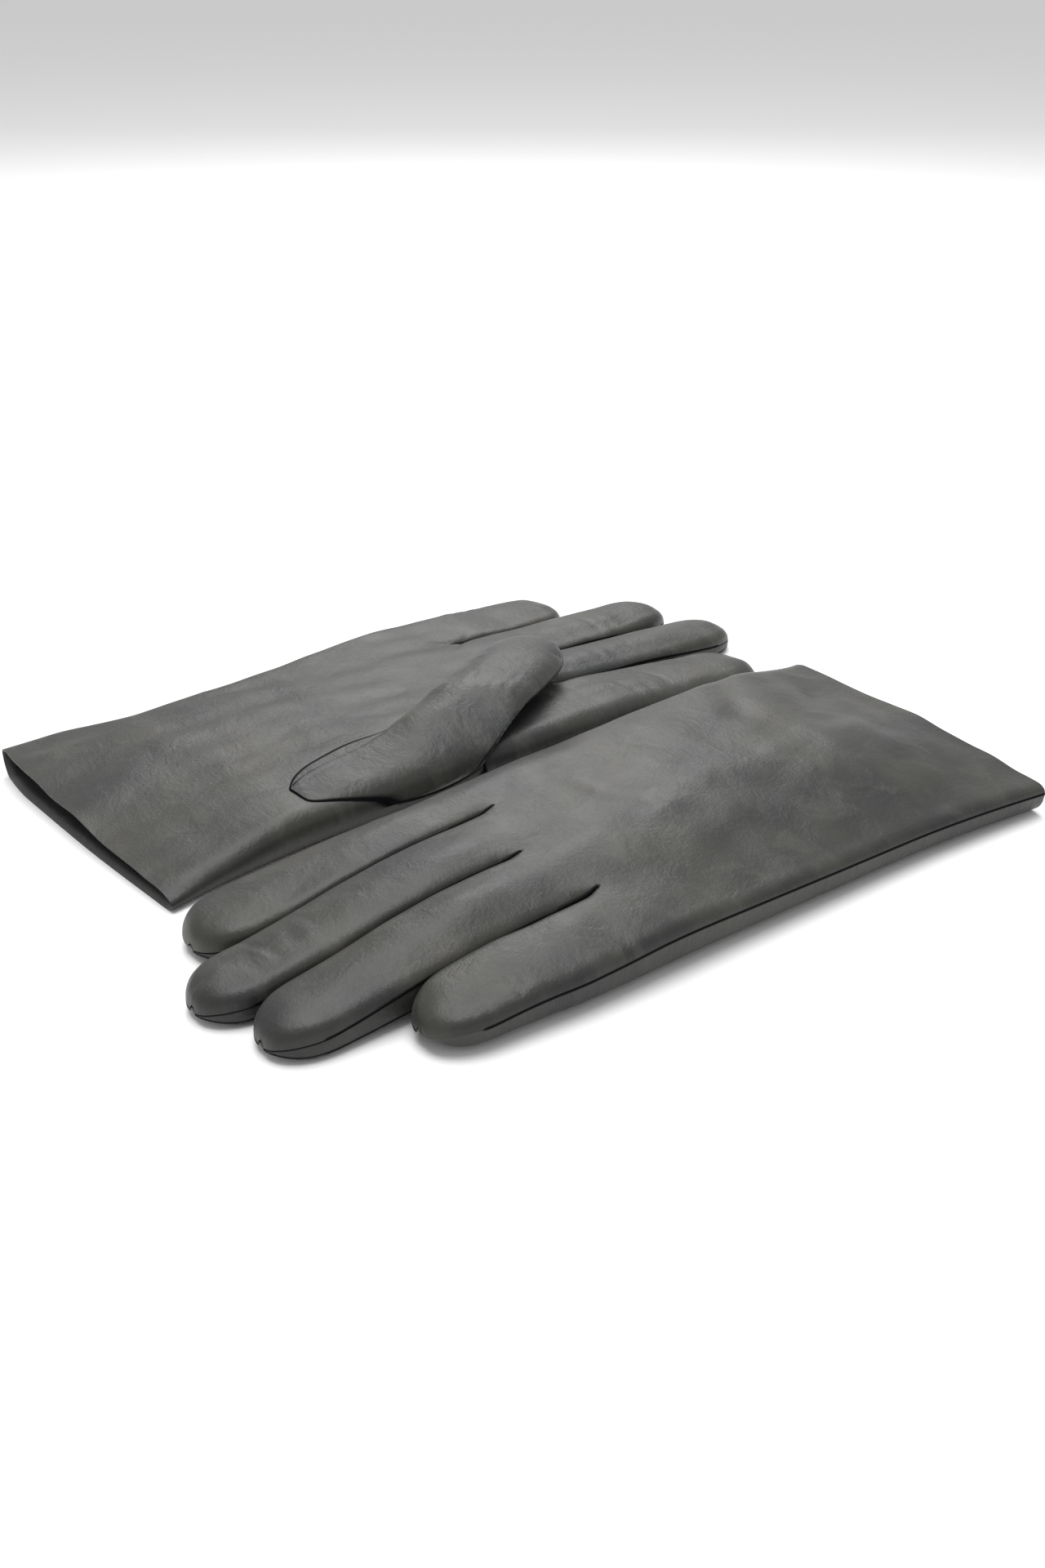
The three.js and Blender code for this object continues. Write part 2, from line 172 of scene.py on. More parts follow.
# Where the hand's index side and little side lie, as v along u.
index_edge = {
    "right": curve((0, -53), (22, -50.5), (58, -48.5), (100, -50), (150, -51), (172, -51)),
    "left": curve((0, -55), (26, -53), (60, -50.4), (100, -50.4), (150, -50.8), (172, -50.8)),
}
little_edge = {
    "right": curve((0, 55), (19, 54), (46, 46.5), (92, 46.5), (140, 51), (172, 51)),
    "left": curve((0, 52), (20, 50.5), (60, 48.5), (100, 48.2), (140, 48.0), (172, 48.2)),
}

# Thickness of the hand along u, at its index side, in its middle and at its little side.
hand_height = {
    "right": (
        curve((0, 4.6), (20, 8), (50, 12), (110, 13.4), (172, 13.0)),
        curve((0, 8.0), (20, 10.6), (50, 13.2), (110, 14.2), (172, 13.5)),
        curve((0, 9.4), (20, 10.2), (50, 12.2), (110, 13.4), (172, 12.6)),
    ),
    "left": (
        curve((0, 9.0), (30, 10.5), (80, 11.6), (120, 11.0), (172, 10.8)),
        curve((0, 9.0), (30, 10.8), (80, 12.4), (120, 12.8), (172, 13.2)),
        curve((0, 9.6), (30, 10.6), (80, 11.6), (120, 12.8), (150, 13.6), (172, 12.6)),
    ),
}
FOLDED_THUMB = 10.4  # how far the thumb under the left hand raises it


def lift(side, u, v):
    """How far the glove's underside stands off the surface: only the left one's does, over its folded thumb."""
    if side == "right":
        return 0 * u * v
    start = 0.44 + 0.56 * step(u, 0, 52)
    end = 1 - 0.22 * step(u, 128, KNUCKLE + 6)
    fingers = 1 - step(u, KNUCKLE + 4, KNUCKLE + 76)
    droop = 1 - 0.6 * (1 - step(v, -52, -33)) * step(u, 30, 165)
    return FOLDED_THUMB * start * end * fingers * (1 - step(v, -2, 56)) * droop


def relief(side, u, v):
    """The large soft swells and the few folds that the hand and finger leather have taken."""
    z = 0.55 * waves(u, v, 5 if side == "right" else 11, 46, 2.2)
    z = z + 0.16 * waves(u, v, 23 if side == "right" else 31, 15, 1.5)
    patchy = np.clip(waves(u, v, 61 if side == "right" else 67, 30, 1.2), 0, 1.4)
    z = z + 0.10 * patchy * step(u, 140, 175) * waves(u, v, 41, 19, 0.26)
    if side == "right":
        z = z + 1.1 * np.exp(-((v - 8 - 0.35 * (u - 20)) / 9) ** 2) * (1 - step(u, 10, 70))
        z = z + crease(u, v, (70, 44), (120, 52), 2.2, 0.8)
        z = z + crease(u, v, (152, 18), (168, 30), 1.0, 0.7) + crease(u, v, (150, 30), (166, 24), 1.0, 0.6)
        z = z + crease(u, v, (196, -46), (193, -28), 0.8, 0.35) + crease(u, v, (181, -45), (178, -31), 0.8, 0.35)
        z = z + crease(u, v, (206, -18), (204, -4), 0.8, 0.4) + crease(u, v, (211, 8), (208, 22), 0.8, 0.4)
    else:
        z = z + crease(u, v, (40, -52), (62, -18), 5.5, 1.1) + crease(u, v, (14, -40), (34, -12), 5.0, 0.8)
        z = z + crease(u, v, (128, -30), (118, 8), 6.0, 0.9) + crease(u, v, (96, 4), (70, 30), 6.0, 0.6)
        z = z + crease(u, v, (236, -20), (232, -4), 0.9, 0.5) + crease(u, v, (207, -19), (203, -8), 0.8, 0.55)
        z = z + crease(u, v, (211, -20), (206, -12), 0.8, 0.4) + crease(u, v, (198, 33), (194, 46), 0.9, 0.4)
        z = z + 0.7 * np.exp(-((u - 176) / 9) ** 2 - ((v + 4) / 8) ** 2)
        z = z + 0.9 * np.exp(-((u - 192) / 16) ** 2 - ((v - 14) / 7) ** 2)
    return z


def strip_plan(side, k, u, t):
    """Plan and the distances to both borders for finger strip k, with u (n, 1) and t (1, m) across it."""
    low_edge, high_edge = index_edge[side](u), little_edge[side](u)
    wide = step(u, 156, KNUCKLE + 4)
    at, webs = BORDERS[side], WEB[side]
    borders = low_edge + (at - at[0]) / (at[-1] - at[0]) * (high_edge - low_edge)
    past = np.maximum(u - KNUCKLE, 0)
    length = LENGTH[side][k]
    lean = math.radians(LEAN[side][k])
    share = np.clip(past / length, 0, 1)
    half = (at[k + 1] - at[k] - GAP) / 2 * (1 - (0.055 if side == "right" else 0.02) * share ** 1.5)
    rest = np.clip((length - past) / TIP_ROUND, 0, 1)
    half = 1.2 + (half - 1.2) * (1 - (1 - rest) ** 2.1) ** (1 / 2.1)
    centre = (at[k] + at[k + 1]) / 2 + (-GAP / 4 if k == 0 else GAP / 4 if k == 3 else 0)
    centre = centre + past * math.tan(lean) * step(past, 0, 14)
    half = half + (GAP / 4 if k in (0, 3) else 0)
    open_low = 1.0 if k == 0 else step(u, webs[k - 1] - 1.0, webs[k - 1] + 5)
    open_high = 1.0 if k == 3 else step(u, webs[k] - 1.0, webs[k] + 5)
    low = centre - half - (0 if k == 0 else GAP / 2 * (1 - open_low))
    high = centre + half + (0 if k == 3 else GAP / 2 * (1 - open_high))
    low = low + (borders[:, k:k + 1] - at[k]) * (1 - wide)
    high = high + (borders[:, k + 1:k + 2] - at[k + 1]) * (1 - wide)
    v = low + (high - low) * t
    turn = lean * step(past, 0, 20)
    reach = v - (low + high) / 2
    return u - reach * np.sin(turn), v, (high - low) * t, (high - low) * (1 - t), open_low, open_high, past, length


# How far each cuff's edge is cut back from the straight, from the index side to the little side.
cuff_trim = {
    "right": curve((-56, 2.6), (0, 1.0), (34, 1.2), (56, 3.6)),
    "left": curve((-56, 2.8), (-38, 1.8), (-22, 2.5), (-6, 1.7), (14, 2.9), (30, 2.1), (42, 2.6), (56, 4.6)),
}


def strip_heights(side, k, u, t):
    """Outer faces of the leather above and below, for finger strip k."""
    at_u, v, from_low, from_high, open_low, open_high, past, length = strip_plan(side, k, u, t)
    at_u = at_u + cuff_trim[side](v) * np.clip(1 - u / 30, 0, 1)
    q = np.clip((v - index_edge[side](u)) / (little_edge[side](u) - index_edge[side](u)), 0, 1)
    a, b, c = (h(u) for h in hand_height[side])
    hand = a * (1 - q) * (1 - 2 * q) + 4 * b * q * (1 - q) + c * q * (2 * q - 1)
    share = np.clip(past / length, 0, 1)
    thick = hand * (1 - share) + (10.4 if side == "left" else 8.8) * share
    finger = step(u, KNUCKLE - 34, KNUCKLE + 16)
    crown = 1 - 0.07 * finger * np.sin(math.pi * (t - 0.5)) ** 2
    end = rounded(length - past + 0.2, 10.0)
    raised = lift(side, u, v)
    soft = (1 - open_low * (1 - rounded(from_low, 9))) * (1 - open_high * (1 - rounded(from_high, 9))) * end
    webs = WEB[side]
    far = step(past, 0.35 * length, 0.95 * length)
    edge_low = 0.46 if k == 0 else 0.84 - 0.24 * far
    edge_high = 0.76 - 0.12 * far if k == 3 else 0.84 - 0.24 * far
    round_low = 7.5 if k == 0 else 3.6
    round_high = 4.0 if k == 3 else 3.6
    keep_low = 1 - open_low * (1 - edge_low) * (1 - rounded(from_low, round_low))
    keep_high = 1 - open_high * (1 - edge_high) * (1 - rounded(from_high, round_high))
    if k > 0:
        keep_low = keep_low - 0.06 * step(u, webs[k - 1] - 26, webs[k - 1]) * np.exp(-(from_low / 6) ** 2)
    if k < 3:
        keep_high = keep_high - 0.06 * step(u, webs[k] - 26, webs[k]) * np.exp(-(from_high / 6) ** 2)
    tip = 0.5 + 0.5 * end
    top = thick * crown * keep_low * keep_high * tip + relief(side, at_u, v) * soft
    foot_low = edge_low * thick if k == 0 else 1.6 * open_low
    foot_high = edge_high * thick * crown if k == 3 else 1.6 * open_high
    bottom = foot_low * (1 - rounded(from_low, 6.0)) + foot_high * (1 - rounded(from_high, 6.0))
    bottom = bottom * end + (1 - end) * top * 0.8
    under = raised * 0.96
    return at_u, v, top + raised, np.minimum(bottom, top) + under


# Shares across a strip, closer together towards its edges, and the distance given where no seam is near.
SPREAD = np.linspace(0, 1, 27)[None, :]
ACROSS = 0.55 * (0.5 - 0.5 * np.cos(math.pi * SPREAD)) + 0.45 * SPREAD
NO_SEAM = 99.0


def even(*values):
    """A smooth curve through values at even stations from 0 to 1."""
    return curve(*zip(np.linspace(0, 1, len(values)), values))


# Outline of the right thumb, as plan points of its two long edges: the one towards the index side and the far one.
# s runs from the root to the tip and t from the first edge to the second.
s = (1 - np.cos(np.linspace(0, math.pi, 84)))[:, None] / 2
t = 0.5 - 0.5 * np.cos(np.linspace(0, math.pi, 37))[None, :]
near_u = even(53.5, 54.5, 63, 76, 90, 103, 114, 124, 133, 144, 155, 164.5, 170.5, 172.5)(s)
near_v = even(-34, -41, -45.5, -48.5, -50.6, -51.4, -50, -46.5, -42.5, -37.2, -31.5, -25.5, -18, -12)(s)
far_u = even(53.5, 58, 66, 76, 87, 98, 109, 120, 131, 141, 150.5, 160, 168, 172.5)(s)
far_v = even(-33, -28.2, -24.2, -21.8, -21.0, -21.2, -19.5, -15.5, -10.5, -5.2, -0.8, 1.4, -1.5, -11)(s)


# Leather is built as grids of points. A glove's grids are welded to find one smooth normal for each point,
# and the pieces that they are then divided into keep that normal, so that no line shows where they part.
class Sheets:
    """Grids of points with their plan coordinates and their distance from the nearest seam.

    seam is that distance in millimetres; inset is the same for a seam or fold that runs across the grid, with a
    sign that tells its two sides apart. Each grid has an owner, the piece that it becomes part of, and a group of
    grids that share smooth normals.
    """

    def __init__(self):
        self.points, self.plans, self.seams, self.insets = [], [], [], []
        self.faces, self.owners, self.groups = [], [], []
        self.count = 0

    def add(self, owner, group, points, plan, seam, flip=False, inset=NO_SEAM):
        rows, columns = points.shape[:2]
        index = self.count + np.arange(rows * columns).reshape(rows, columns)
        quads = np.stack([index[:-1, :-1], index[1:, :-1], index[1:, 1:], index[:-1, 1:]], -1).reshape(-1, 4)
        if flip:
            quads = quads[:, ::-1]
        self.points.append(points.reshape(-1, 3))
        self.plans.append(np.stack([np.broadcast_to(p, (rows, columns)) for p in plan], -1).reshape(-1, 2))
        self.seams.append(np.broadcast_to(seam, (rows, columns)).reshape(-1))
        self.insets.append(np.broadcast_to(inset, (rows, columns)).reshape(-1))
        self.faces.append(quads)
        self.owners += [owner] * len(quads)
        self.groups += [group] * len(quads)
        self.count += rows * columns

    def build(self):
        """Makes one object for each owner, from all its grids."""
        points, plans = np.concatenate(self.points), np.concatenate(self.plans)
        seams, insets = np.concatenate(self.seams), np.concatenate(self.insets)
        faces = np.concatenate(self.faces)
        owners, groups = np.array(self.owners), np.array(self.groups)
        normals = np.zeros((len(faces), 4, 3))
        face_normals = np.cross(points[faces[:, 2]] - points[faces[:, 0]], points[faces[:, 3]] - points[faces[:, 1]])
        keys = np.round(points / 2e-6).astype(np.int64)
        _, welded = np.unique(keys, axis=0, return_inverse=True)
        welded = welded.reshape(-1)
        for group in np.unique(groups):
            mine = np.where(groups == group)[0]
            total = np.zeros((welded.max() + 1, 3))
            for corner in range(4):
                np.add.at(total, welded[faces[mine, corner]], face_normals[mine])
            length = np.linalg.norm(total, axis=1, keepdims=True)
            total = total / np.maximum(length, 1e-12)
            normals[mine] = total[welded[faces[mine]]]
        first = np.zeros(welded.max() + 1, int)
        first[welded[::-1]] = np.arange(len(welded))[::-1]
        made = {}
        for owner in dict.fromkeys(self.owners):
            mine = np.where(owners == owner)[0]
            used, local = np.unique(welded[faces[mine]], return_inverse=True)
            local = local.reshape(-1, 4)
            keep = [i for i, f in enumerate(local) if len(set(f)) > 2]
            loops, corner_normals, corner_plans, sizes, corner_seams, corner_insets = [], [], [], [], [], []
            for i in keep:
                f = local[i]
                order = [c for c in range(4) if f[c] != f[c - 1]]
                sizes.append(len(order))
                loops += [int(f[c]) for c in order]
                corner_normals += [normals[mine[i], c] for c in order]
                corner_plans += [plans[faces[mine[i], c]] for c in order]
                corner_seams += [seams[faces[mine[i], c]] for c in order]
                corner_insets += [insets[faces[mine[i], c]] for c in order]
            mesh = bpy.data.meshes.new(owner)
            starts = np.concatenate([[0], np.cumsum(sizes)[:-1]])
            polygons = [loops[a:a + n] for a, n in zip(starts, sizes)]
            mesh.from_pydata(points[first[used]].tolist(), [], polygons)
            layer = mesh.uv_layers.new(name="plan")
            layer.data.foreach_set("uv", (np.array(corner_plans) / 100).astype(np.float32).ravel())
            for name, values in (("seam", corner_seams), ("inset", corner_insets)):
                measured = mesh.attributes.new(name, "FLOAT", "CORNER")
                measured.data.foreach_set("value", np.array(values, np.float32))
            mesh.polygons.foreach_set("use_smooth", [True] * len(mesh.polygons))
            mesh.normals_split_custom_set(np.array(corner_normals).tolist())
            mesh.update()
            material, slot = finish_of(owner)
            mesh.materials.append(material)
            obj = bpy.data.objects.new(owner, mesh)
            bpy.context.scene.collection.objects.link(obj)
            made[owner] = obj
        return made


def finger_stations(side, k):
    """Where along u a finger's grid has its rows: every millimetre past the webs, then closer towards the tip."""
    near = np.arange(SPLIT, 168.01, 1.0)
    far = KNUCKLE + LENGTH[side][k]
    s = np.linspace(0, 1, 74)[1:]
    return np.concatenate([near, near[-1] + (far - near[-1]) * (1 - (1 - s) ** 1.55)])[:, None]


def web_distance(side, u, v):
    """How far each point is from the nearest slit between two fingers, along the hand."""
    least = np.full(np.broadcast(u, v).shape, NO_SEAM)
    for at, border in zip(WEB[side], BORDERS[side][1:]):
        least = np.minimum(least, np.hypot(np.maximum(at - u, 0), v - border))
    return least


def mouth_distance(u, v):
    """How far each point of the palm is from the seam round the thumb's root: negative on the thumb's side."""
    root = np.stack([np.concatenate([a[:40][::-1, 0], b[:40, 0]]) for a, b in ((near_u, far_u), (near_v, far_v))], -1)
    least, within = np.full(u.shape, NO_SEAM), np.zeros(u.shape, bool)
    for a, b in zip(root, np.roll(root, -1, 0)):
        if a[1] != b[1]:
            within ^= ((v >= a[1]) != (v >= b[1])) & (u > a[0] + (v - a[1]) / (b[1] - a[1]) * (b[0] - a[0]))
    for a, b in zip(root[:-1], root[1:]):
        run = b - a
        share = np.clip(((u - a[0]) * run[0] + (v - a[1]) * run[1]) / max(run @ run, 1e-9), 0, 1)
        least = np.minimum(least, np.hypot(u - a[0] - share * run[0], v - a[1] - share * run[1]))
    return np.where(within, -least, least)


def strip_sheets(sheets, side, k, u, owner, wall_owner=None):
    """Adds the leather of one strip, above and below, and its side walls past the slits."""
    at_u, v, top, bottom = strip_heights(side, k, u, ACROSS)
    _, _, from_low, from_high, open_low, open_high, past, length = strip_plan(side, k, u, ACROSS)
    off_web = np.where(u < 168, web_distance(side, at_u, v), NO_SEAM)
    webs = WEB[side]
    ended = 9 * step(past, length - 12, length - 3)
    seams = []
    for z in (top, bottom):
        seam = off_web
        for column, from_edge, opening in ((0, from_low, k > 0 and u >= webs[k - 1]),
                                           (-1, from_high, k == 3 or u >= webs[min(k, 2)])):
            along_skin = np.hypot(from_edge, z - z[:, column:][:, :1])
            seam = np.minimum(seam, np.where(opening, along_skin + ended, NO_SEAM))
        seams.append(seam)
    inset = mouth_distance(at_u, v) if side == "right" else NO_SEAM
    sheets.add(owner, "skin", to_row(side, at_u, v, top), (at_u, v), seams[0], inset=inset)
    sheets.add(owner, "skin", to_row(side, at_u, v, bottom), (at_u, v + 130), seams[1], flip=True)
    if wall_owner is None:
        return
    last = np.stack([to_row(side, at_u[-1], v[-1], bottom[-1]), to_row(side, at_u[-1], v[-1], top[-1])])
    sheets.add(owner, "skin", last, (at_u[-1:], v[-1:]), 0.5)
    share = np.linspace(0, 1, 6)[None, :]
    for column, is_wall, opening, outward in ((0, k > 0, open_low, -1), (-1, k < 3, open_high, 1)):
        if not is_wall:
            continue
        foot, head = bottom[:, column:][:, :1], top[:, column:][:, :1]
        height = head - foot
        z = foot + height * share
        bulge = outward * 0.35 * np.sin(math.pi * share) * opening * np.clip(height / 8, 0, 1)
        edge_u, edge_v = at_u[:, column:][:, :1], v[:, column:][:, :1]
        wall_seam = np.minimum(head - z, z - foot) + 0 * z
        sheets.add(wall_owner, "wall" + str(k) + str(outward), to_row(side, edge_u + 0 * z, edge_v + bulge, z),
                   (edge_u + 0 * z, z + 60), wall_seam, flip=outward < 0)


def inner_sheets(sheets, side, owner, strips, u, inset, margin=0.4):
    """Adds a layer that lies inside the leather, this far in from its outer faces."""
    for k in strips:
        at_u, v, top, bottom = strip_heights(side, k, u, ACROSS)
        middle = (top + bottom) / 2
        high = np.maximum(top - inset, middle + margin * np.clip((top - bottom) / 4, 0, 1))
        low = np.minimum(bottom + inset, middle - margin * np.clip((top - bottom) / 4, 0, 1))
        sheets.add(owner, "inner", to_row(side, at_u, v, high), (at_u, v), NO_SEAM, flip=True)
        sheets.add(owner, "inner", to_row(side, at_u, v, low), (at_u, v + 130), NO_SEAM)


# The leather is smooth sheepskin dyed black: a fine grain, soft creases across the fingers, small puckers where
# it is sewn, painted shade along its seams and the thumb's fold line, and a satin finish that varies a little.
# The lining is a dark fine knit.
class Socket:
    """A shader socket that can be used in sums, so that node maths reads as maths."""

    def __init__(self, tree, socket):
        self.tree, self.socket = tree, socket

    def node(self, kind, inputs, output=0, **settings):
        made = self.tree.nodes.new(kind)
        for name, value in settings.items():
            setattr(made, name, value)
        for name, value in inputs.items():
            if isinstance(value, Socket):
                self.tree.links.new(value.socket, made.inputs[name])
            else:
                made.inputs[name].default_value = value
        return Socket(self.tree, made.outputs[output])

    def maths(self, operation, *values):
        return self.node("ShaderNodeMath", dict(enumerate((self,) + values)), operation=operation)

    def __add__(self, other):
        return self.maths("ADD", other)

    def __radd__(self, other):
        return self.maths("ADD", other)

    def __sub__(self, other):
        return self.maths("SUBTRACT", other)

    def __rsub__(self, other):
        return self.maths("MULTIPLY", -1.0).maths("ADD", other)

    def __mul__(self, other):
        return self.maths("MULTIPLY", other)

    def __rmul__(self, other):
        return self.maths("MULTIPLY", other)

    def __truediv__(self, other):
        return self.maths("DIVIDE", other)

    def __pow__(self, other):
        return self.maths("POWER", other)

    def near(self, width):
        """1 where this is 0, falling to 0 at width."""
        return (1.0 - self / width).maths("MAXIMUM", 0.0) ** 2.0

    def between(self, low, high):
        return self.node("ShaderNodeMapRange", {"Value": self, "From Min": low, "From Max": high},
                         interpolation_type="SMOOTHSTEP")

    def mix(self, other, share):
        return self.node("ShaderNodeMix", {0: share, 6: self, 7: other}, output=2, data_type="RGBA")


def new_material(name):
    material = bpy.data.materials.new(name)
    material.use_nodes = True
    tree = material.node_tree
    tree.nodes.clear()
    output = tree.nodes.new("ShaderNodeOutputMaterial")
    shader = tree.nodes.new("ShaderNodeBsdfPrincipled")
    tree.links.new(shader.outputs[0], output.inputs["Surface"])
    return material, tree, shader


def source(tree, kind, output, **settings):
    """A node with no socket to set, such as one that reads an attribute."""
    made = tree.nodes.new(kind)
    for key, value in settings.items():
        setattr(made, key, value)
    return Socket(tree, made.outputs[output])


def noise(at, scale, detail=2.0, roughness=0.5, distortion=0.0):
    return at.node("ShaderNodeTexNoise", {"Vector": at, "Scale": scale, "Detail": detail,
                                          "Roughness": roughness, "Distortion": distortion})


def stretched(at, along, across):
    return at.node("ShaderNodeMapping", {"Vector": at, "Scale": (along, across, 1.0)})


def leather_material(name, dark, warm, roughness, wrinkles):
    material, tree, shader = new_material(name)
    plan = source(tree, "ShaderNodeUVMap", 0, uv_map="plan")
    seam = source(tree, "ShaderNodeAttribute", 2, attribute_name="seam")
    inset = source(tree, "ShaderNodeAttribute", 2, attribute_name="inset").maths("ABSOLUTE")
    shadow = plan.node("ShaderNodeBsdfDiffuse", {"Color": (0.006, 0.006, 0.007, 1)})
    cloud = noise(plan, 2.6, 3.0, 0.55)
    patch = noise(plan, 9.0, 3.0, 0.6, 0.6)
    speck = noise(plan, 130.0, 1.0)
    grain = noise(plan, 95.0, 3.0, 0.65)
    pores = plan.node("ShaderNodeTexVoronoi", {"Vector": plan, "Scale": 150.0})
    fine = noise(stretched(plan, 14.0, 9.0), 1.0, 3.0, 0.55, 0.6)
    lines = noise(stretched(plan, 46.0, 15.0), 1.0, 2.0, 0.5, 1.4)
    pucker = noise(stretched(plan, 24.0, 24.0), 1.0, 2.0, 0.5)

    tone = cloud.between(0.3, 0.7)
    base = tone.node("ShaderNodeMix", {0: tone, 6: dark, 7: warm}, output=2, data_type="RGBA")
    light = speck.between(0.70, 0.82) * 0.16
    base = base.mix((0.080, 0.078, 0.066, 1), patch.between(0.5, 0.72) * 0.28)
    base = base.mix((0.19, 0.19, 0.185, 1), light)
    # Painted shade: along the seams and the thumb's fold line a near-black diffuse shader is mixed in, for the shade
    # in their grooves.
    seam_shade = (seam.near(0.8) * 1.8 + inset.near(0.85) * 2.4).maths("MINIMUM", 1.0)
    tree.links.new(base.socket, shader.inputs["Base Color"])

    rough = roughness + (patch - 0.5) * 0.22 + (grain - 0.5) * 0.16
    tree.links.new(rough.socket, shader.inputs["Roughness"])
    shader.inputs["Specular IOR Level"].default_value = 0.36
    shader.inputs["Sheen Weight"].default_value = 0.05
    shader.inputs["Sheen Roughness"].default_value = 0.45
    shader.inputs["Coat Weight"].default_value = 0.03
    shader.inputs["Coat Roughness"].default_value = 0.42

    gathered = seam.near(5.0) * (pucker - 0.5) * 0.9
    soft = (patch - 0.5) * 0.42 * wrinkles + (fine - 0.5) * 0.15 * wrinkles
    crepe = (lines - 0.5) * 0.13 * wrinkles * patch.between(0.44, 0.62)
    skin = (grain - 0.5) * 0.08 + (pores - 0.3) * 0.035
    height = gathered * 0.35 + soft + crepe + skin - seam.near(0.8) * 0.4 - inset.near(0.9) * 0.35
    bump = height.node("ShaderNodeBump", {"Height": height, "Strength": 1.0, "Distance": 0.001})
    tree.links.new(bump.socket, shader.inputs["Normal"])
    # The painted seam shade is mixed over the leather here.
    whole = shadow.node("ShaderNodeMixShader", {0: seam_shade, 1: Socket(tree, shader.outputs[0]), 2: shadow})
    tree.links.new(whole.socket, tree.nodes["Material Output"].inputs["Surface"])
    return material


def knit_material(name):
    material, tree, shader = new_material(name)
    plan = source(tree, "ShaderNodeUVMap", 0, uv_map="plan")
    rib = plan.node("ShaderNodeTexWave", {"Vector": plan, "Scale": 32.0, "Distortion": 1.2, "Detail": 1.0},
                    output=1, bands_direction="Y")
    fuzz = noise(plan, 120.0, 3.0, 0.7)
    tint = (rib * 0.5 + fuzz * 0.5).between(0.2, 0.8)
    base = tint.node("ShaderNodeMix", {0: tint, 6: (0.010, 0.010, 0.011, 1), 7: (0.034, 0.034, 0.037, 1)},
                     output=2, data_type="RGBA")
    tree.links.new(base.socket, shader.inputs["Base Color"])
    rough = 0.8 + fuzz * 0.2
    tree.links.new(rough.socket, shader.inputs["Roughness"])
    height = rib * 0.12 + fuzz * 0.10
    bump = height.node("ShaderNodeBump", {"Height": height, "Strength": 0.8, "Distance": 0.001})
    tree.links.new(bump.socket, shader.inputs["Normal"])
    return material


MATERIALS = {
    "shell_leather": leather_material("shell_leather", (0.017, 0.018, 0.018, 1), (0.036, 0.035, 0.029, 1), 0.44, 1.0),
    "thumb_leather": leather_material("thumb_leather", (0.017, 0.018, 0.018, 1), (0.034, 0.033, 0.028, 1), 0.44, 1.5),
    "fourchette_leather": leather_material("fourchette_leather", (0.018, 0.019, 0.019, 1), (0.028, 0.028, 0.025, 1),
                                           0.46, 0.8),
    "hem_leather": leather_material("hem_leather", (0.030, 0.030, 0.031, 1), (0.040, 0.040, 0.040, 1), 0.5, 0.6),
    "lining_knit": knit_material("lining_knit"),
}

FINISHES = (  # a word in a piece's name, its material, and the record's slot for it
    ("knit", "lining_knit", "lining_knit"),
    ("fourchettes", "fourchette_leather", "fourchette_leather"),
    ("hem", "hem_leather", "hem_leather"),
    ("thumb", "thumb_leather", "shell_leather"),
    ("", "shell_leather", "shell_leather"),
)


def finish_of(owner):
    return next((MATERIALS[material], slot) for word, material, slot in FINISHES if word in owner)


KNIT_DEPTH = 2.2  # how far inside the leather's outer faces the lining lies
HEM_INSET = [0.0, 0.9] + [1.7] * 8  # the same for the turned hem, which starts at the cuff's edge

hand_u = np.linspace(0, SPLIT, 142)[:, None]
pieces = {}
for side in SIDES:
    sheets = Sheets()
    for k, name in enumerate(FINGERS):
        strip_sheets(sheets, side, k, hand_u, f"{side}_hand_leather")
        strip_sheets(sheets, side, k, finger_stations(side, k), f"{side}_{name}_leather",
                     f"{side}_{name}_fourchettes")
    pieces.update(sheets.build())

    inner = Sheets()
    hem_depth = GLOVES[side]["hem"]
    hem_u = np.concatenate([[0], np.linspace(0.4, hem_depth, 9)])[:, None]
    inner_sheets(inner, side, f"{side}_hem_leather", range(4), hem_u, np.array(HEM_INSET)[:, None], margin=0.15)
    knit_u = np.linspace(hem_depth - 1.5, SPLIT, 40)[:, None]
    inner_sheets(inner, side, f"{side}_hand_knit", range(4), knit_u, KNIT_DEPTH)
    for k, name in enumerate(FINGERS):
        far = KNUCKLE + LENGTH[side][k] - 5
        inner_sheets(inner, side, f"{side}_{name}_knit", [k], np.linspace(SPLIT + 3, far, 26)[:, None], KNIT_DEPTH)
    pieces.update(inner.build())


def plan_point(side, u, v=0.0, z=0.0):
    return tuple(to_row(side, np.array([float(u)]), np.array([float(v)]), np.array([float(z)]))[0])


# The hand's leather stays with the hand. Each finger's leather, side walls and lining stay where they are built.
for side in SIDES:
    hand = f"{side}_hand"
    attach(pieces[f"{side}_hand_leather"], hand)
    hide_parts(f"{side}_palm_panel", f"{side}_back_panel", f"{side}_thumb_collar")
    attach(pieces[f"{side}_hem_leather"], hand)
    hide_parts(f"{side}_cuff_hem")
    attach(pieces[f"{side}_hand_knit"], hand)
    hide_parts(f"{side}_hand_lining")
    for name in FINGERS:
        bend = (hand, f"{side}_{name}", plan_point(side, 163.5), plan_point(side, 181.5))
        walls = [n for n in frame["nodes"] if n.startswith(f"{side}_{name}_fourchette")]
        for piece, nodes in ((f"{side}_{name}_leather", [f"{side}_{name}_palm", f"{side}_{name}_back"]),
                             (f"{side}_{name}_fourchettes", walls),
                             (f"{side}_{name}_knit", [f"{side}_{name}_lining"])):
            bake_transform(pieces[piece])
            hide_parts(*nodes)


# ---- Thumbs ----
# Each thumb is a piece of its own, set into the palm with a seam that runs round its root like a leaf's tip.
# The right one lies over the palm and stands off it; the left one is folded flat under the hand.

def surface_rows(side):
    """The palm-up or back-up face of the hand as rows of v and z, one for each station in u."""
    u = np.arange(0, 200.5, 1.0)[:, None]
    rows = [strip_heights(side, k, u, ACROSS)[1:3] for k in range(4)]
    return u[:, 0], np.concatenate([r[0] for r in rows], 1), np.concatenate([r[1] for r in rows], 1)


